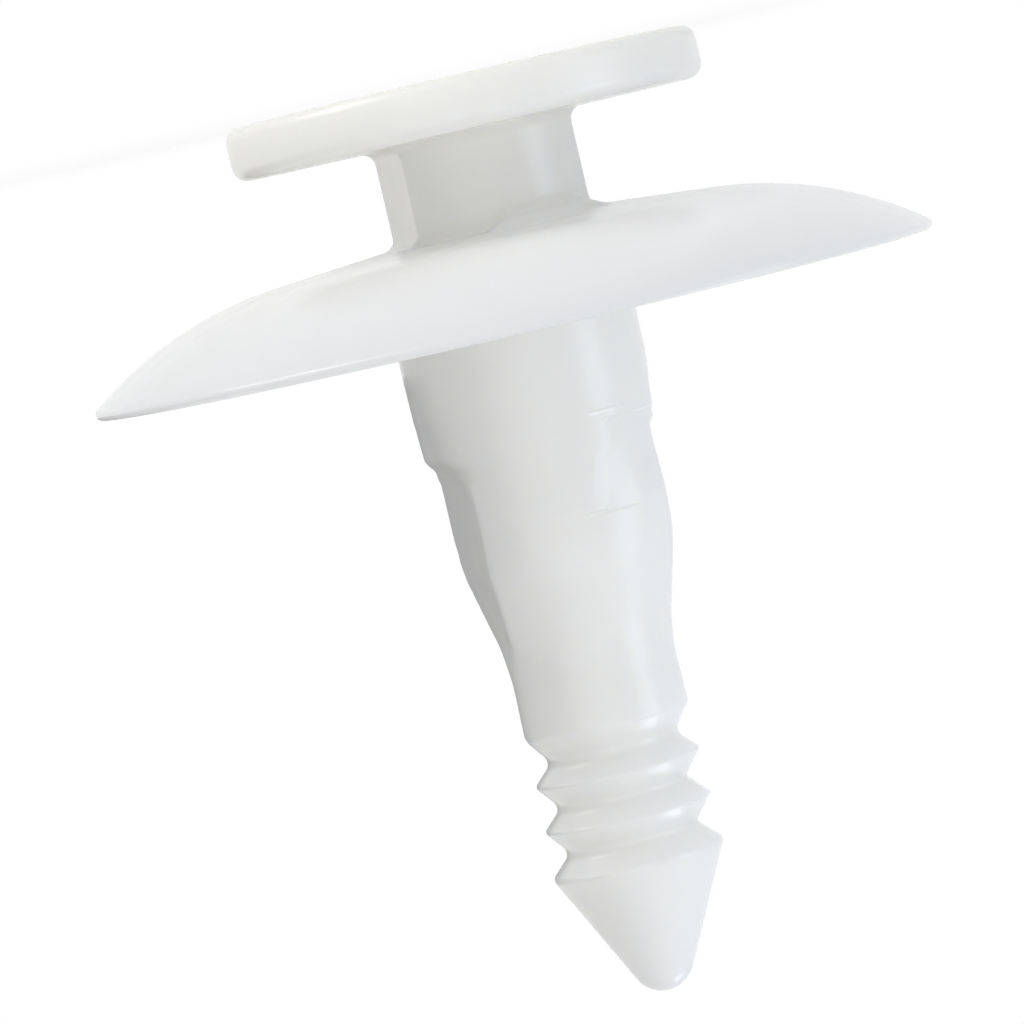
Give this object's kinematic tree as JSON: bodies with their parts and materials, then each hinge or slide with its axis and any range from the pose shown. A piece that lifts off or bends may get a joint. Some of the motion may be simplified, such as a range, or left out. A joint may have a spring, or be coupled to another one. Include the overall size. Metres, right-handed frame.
{
  "type": "trim panel clip",
  "caption": "One-piece push-in clip for a trim panel: flat round head, flatted neck, sprung umbrella skirt, round collar, flatted barrel and a barbed fir tree tip.",
  "frame": {"origin": "centre of the head's flat outer face, which the clip stands on", "axes": "+Z runs from the head along the stem to the tip; the side flats of the neck and the barrel face +X and -X"},
  "size_m": [0.0264, 0.0264, 0.0289],
  "materials": {
    "natural_nylon": "semi-gloss moulded natural nylon, slightly translucent milky white"
  },
  "bodies": {
    "root": {"clip_body": "natural_nylon"}
  },
  "joints": []
}
